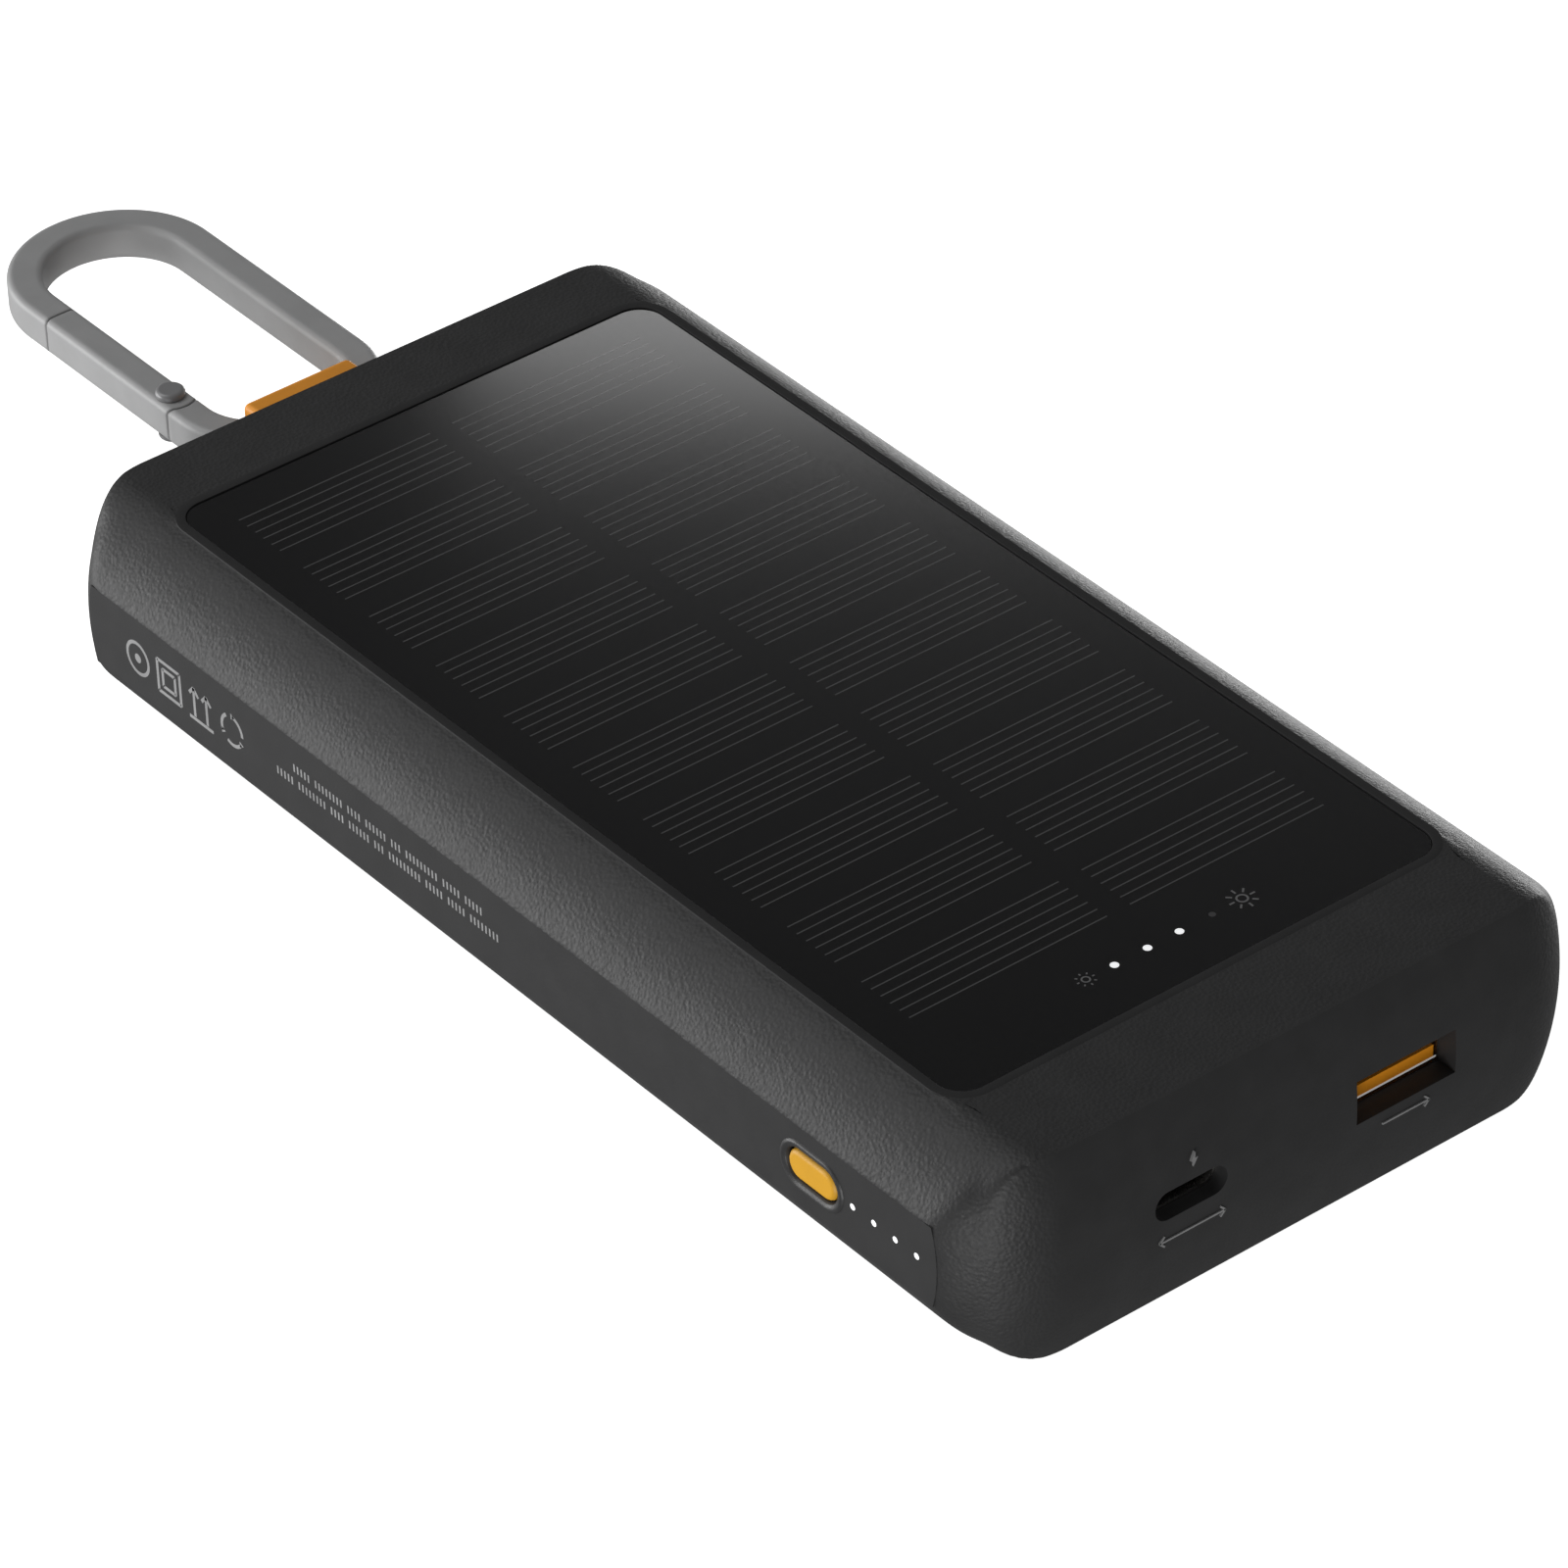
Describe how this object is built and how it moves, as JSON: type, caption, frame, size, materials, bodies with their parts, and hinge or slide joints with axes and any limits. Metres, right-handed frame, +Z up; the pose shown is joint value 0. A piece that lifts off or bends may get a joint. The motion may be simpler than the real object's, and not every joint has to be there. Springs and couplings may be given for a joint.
{
  "type": "solar phone charger",
  "caption": "Slab-shaped solar power bank with a glass-covered panel on top, sockets in one end, a sprung power button in the side and a swinging carabiner on the other end.",
  "frame": {"origin": "centre of the flat underside", "axes": "+Z up through the solar panel, -Y towards the end with the sockets, +Y towards the carabiner, -X towards the power button"},
  "size_m": [0.0785, 0.21, 0.0242],
  "materials": {
    "shell_grained": "fine leather grain",
    "end_plate_smooth": "satin",
    "strip_smooth": "satin",
    "screw_steel": "plain",
    "rubber_black": "matt",
    "panel_glass": "clear, polished",
    "board_black": "matt",
    "bond_black": "matt",
    "cell_black": "coated silicon",
    "ribbon_tin": "tinned",
    "lamp_white": "diffusing",
    "socket_steel": "satin",
    "orange_plastic": "satin",
    "contact_gold": "plated",
    "black_plastic": "matt",
    "board_green": "solder mask",
    "chip_black": "moulded",
    "ferrite": "sintered",
    "capacitor_can": "plain",
    "white_plastic": "plain",
    "guide_clear": "clear",
    "yellow_plastic": "satin",
    "pouch_foil": "foil",
    "foam_grey": "foam",
    "carabiner_grey": "satin anodised"
  },
  "bodies": {
    "housing": {"battery_cell_left_lower": "pouch_foil", "battery_cell_left_upper": "pouch_foil", "battery_cell_right_lower": "pouch_foil", "battery_cell_right_upper": "pouch_foil", "battery_connector": "white_plastic", "battery_foam_bottom": "foam_grey", "battery_foam_middle": "foam_grey", "battery_foam_top": "foam_grey", "battery_guard_board": "board_green", "battery_tabs_left": "ribbon_tin", "battery_tabs_right": "ribbon_tin", "boost_inductor": "ferrite", "bottom_cover": "shell_grained", "button_surround": "strip_smooth", "carabiner_loop": "orange_plastic", "charge_controller": "chip_black", "charge_lamp_bar": "lamp_white", "charge_lamp_light_guides": "guide_clear", "cover_screw_left_far_end": "screw_steel", "cover_screw_left_port_end": "screw_steel", "cover_screw_right_far_end": "screw_steel", "cover_screw_right_port_end": "screw_steel", "glass_bond_frame": "bond_black", "housing_shell": "shell_grained", "loop_anchor_block": "black_plastic", "loop_anchor_pin": "screw_steel", "main_board": "board_green", "output_capacitor": "capacitor_can", "port_end_plate": "end_plate_smooth", "screw_plug_left_far_end": "rubber_black", "screw_plug_left_port_end": "rubber_black", "screw_plug_right_far_end": "rubber_black", "screw_plug_right_port_end": "rubber_black", "side_board": "board_green", "side_strip_button_side": "strip_smooth", "side_strip_plain_side": "strip_smooth", "solar_backing_board": "board_black", "solar_capacitor": "capacitor_can", "solar_cells_left": "cell_black", "solar_cells_right": "cell_black", "solar_collector_ribbon": "ribbon_tin", "solar_glass": "panel_glass", "solar_inductor": "ferrite", "sun_meter_lamp_bar": "lamp_white", "tact_switch_body": "chip_black", "usb_a_contacts": "contact_gold", "usb_a_shell": "socket_steel", "usb_a_tongue": "orange_plastic", "usb_c_riser": "black_plastic", "usb_c_shell": "socket_steel", "usb_c_tongue": "black_plastic"},
    "power_button": {"power_button_cap": "yellow_plastic", "power_button_stem": "yellow_plastic"},
    "carabiner": {"carabiner_frame": "carabiner_grey", "carabiner_pivot_arm": "carabiner_grey", "gate_rivet": "carabiner_grey", "loop_axis_pin": "screw_steel"},
    "carabiner_gate": {"carabiner_gate": "carabiner_grey", "gate_spring": "screw_steel"}
  },
  "joints": [
    {"name": "power_button_press", "type": "slide", "parent": "housing", "child": "power_button", "axis": [1, 0, 0], "range_m": [0, 0.0004], "stiffness_N_per_m": 2000, "springref_m": -0.0004},
    {"name": "carabiner_swing", "type": "hinge", "parent": "housing", "child": "carabiner", "pos_m": [0, 0.0839, 0.01208], "axis": [1, 0, 0], "range_deg": [-80, 80]},
    {"name": "carabiner_gate_open", "type": "hinge", "parent": "carabiner", "child": "carabiner_gate", "pos_m": [-0.0102, 0.0961, 0.01208], "axis": [0, 0, -1], "range_deg": [0, 24], "stiffness_Nm_per_rad": 0.02, "springref_deg": -20.05}
  ]
}
